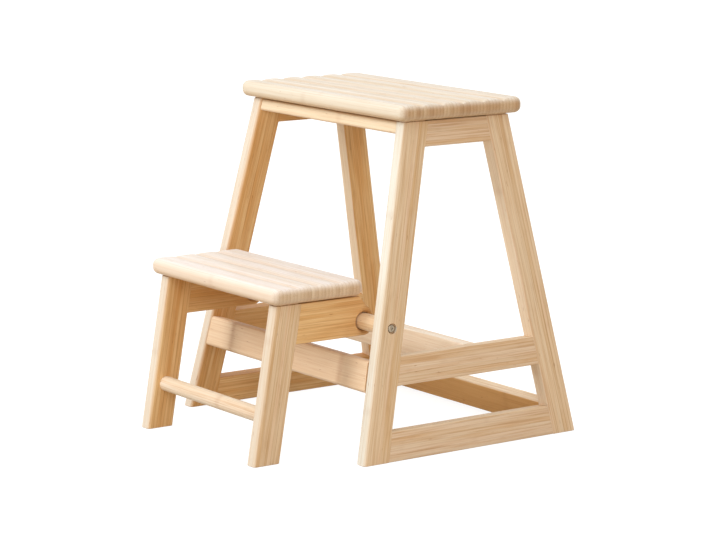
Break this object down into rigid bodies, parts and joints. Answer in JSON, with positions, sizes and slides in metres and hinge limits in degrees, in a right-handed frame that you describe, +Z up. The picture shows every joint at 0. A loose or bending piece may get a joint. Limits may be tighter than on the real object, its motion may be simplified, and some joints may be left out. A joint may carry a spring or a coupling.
{
  "type": "folding step stool chair",
  "caption": "Bamboo seat with a ribbed tread on a splayed frame; a smaller ribbed step in front swings up and over on a dowel to stow under the seat.",
  "frame": {"origin": "on the floor, at the middle of the ground that the stool covers with its step folded out", "axes": "+Z up, -Y towards the side that the step folds out to, X across the stool"},
  "size_m": [0.424, 0.4669, 0.45],
  "materials": {
    "bamboo_tread": "pale laminated bamboo, satin lacquer, ribbed top",
    "bamboo_leg": "pale laminated bamboo, satin lacquer",
    "bamboo_rail": "laminated bamboo, satin lacquer",
    "bamboo_rod": "turned laminated bamboo, satin lacquer",
    "bamboo_pin": "plain bamboo dowel, glued in",
    "steel_screw": "dull plated steel",
    "steel_insert": "dull plated steel"
  },
  "bodies": {
    "frame": {"front_leg_left": "bamboo_leg", "rear_leg_left": "bamboo_leg", "bottom_side_rail_left": "bamboo_rail", "pin_bottom_rail_front_left": "bamboo_pin", "pin_bottom_rail_rear_left": "bamboo_pin", "mid_side_rail_left": "bamboo_rail", "pin_mid_rail_front_left": "bamboo_pin", "pin_mid_rail_rear_left": "bamboo_pin", "top_side_rail_left": "bamboo_rail", "pin_top_rail_front_left": "bamboo_pin", "pin_top_rail_rear_left": "bamboo_pin", "front_leg_right": "bamboo_leg", "rear_leg_right": "bamboo_leg", "bottom_side_rail_right": "bamboo_rail", "pin_bottom_rail_front_right": "bamboo_pin", "pin_bottom_rail_rear_right": "bamboo_pin", "mid_side_rail_right": "bamboo_rail", "pin_mid_rail_front_right": "bamboo_pin", "pin_mid_rail_rear_right": "bamboo_pin", "top_side_rail_right": "bamboo_rail", "pin_top_rail_front_right": "bamboo_pin", "pin_top_rail_rear_right": "bamboo_pin", "front_top_rail": "bamboo_rail", "pin_front_top_rail_left": "bamboo_pin", "pin_front_top_rail_right": "bamboo_pin", "rear_top_rail": "bamboo_rail", "pin_rear_top_rail_left": "bamboo_pin", "pin_rear_top_rail_right": "bamboo_pin", "front_cross_rail": "bamboo_rail", "pin_front_cross_rail_left": "bamboo_pin", "pin_front_cross_rail_right": "bamboo_pin", "rear_cross_rail": "bamboo_rail", "pin_rear_cross_rail_left": "bamboo_pin", "pin_rear_cross_rail_right": "bamboo_pin", "middle_cross_rail": "bamboo_rail", "pin_middle_cross_rail_left": "bamboo_pin", "pin_middle_cross_rail_right": "bamboo_pin", "top_tread": "bamboo_tread", "pin_top_tread_front_left": "bamboo_pin", "pin_top_tread_rear_left": "bamboo_pin", "pin_top_tread_front_right": "bamboo_pin", "pin_top_tread_rear_right": "bamboo_pin"},
    "step": {"step_leg_left": "bamboo_leg", "step_side_rail_left": "bamboo_rail", "pin_step_rail_left": "bamboo_pin", "pin_step_tread_front_left": "bamboo_pin", "pin_step_tread_rear_left": "bamboo_pin", "pivot_screw_left": "steel_screw", "pivot_insert_left": "steel_insert", "step_leg_right": "bamboo_leg", "step_side_rail_right": "bamboo_rail", "pin_step_rail_right": "bamboo_pin", "pin_step_tread_front_right": "bamboo_pin", "pin_step_tread_rear_right": "bamboo_pin", "pivot_screw_right": "steel_screw", "pivot_insert_right": "steel_insert", "step_tread": "bamboo_tread", "step_rung": "bamboo_rod", "pivot_dowel": "bamboo_rod"}
  },
  "joints": [
    {"name": "step_fold", "type": "hinge", "parent": "frame", "child": "step", "pos_m": [0, -0.06264, 0.169], "axis": [-1, 0, 0], "range_deg": [0, 170.8]}
  ]
}
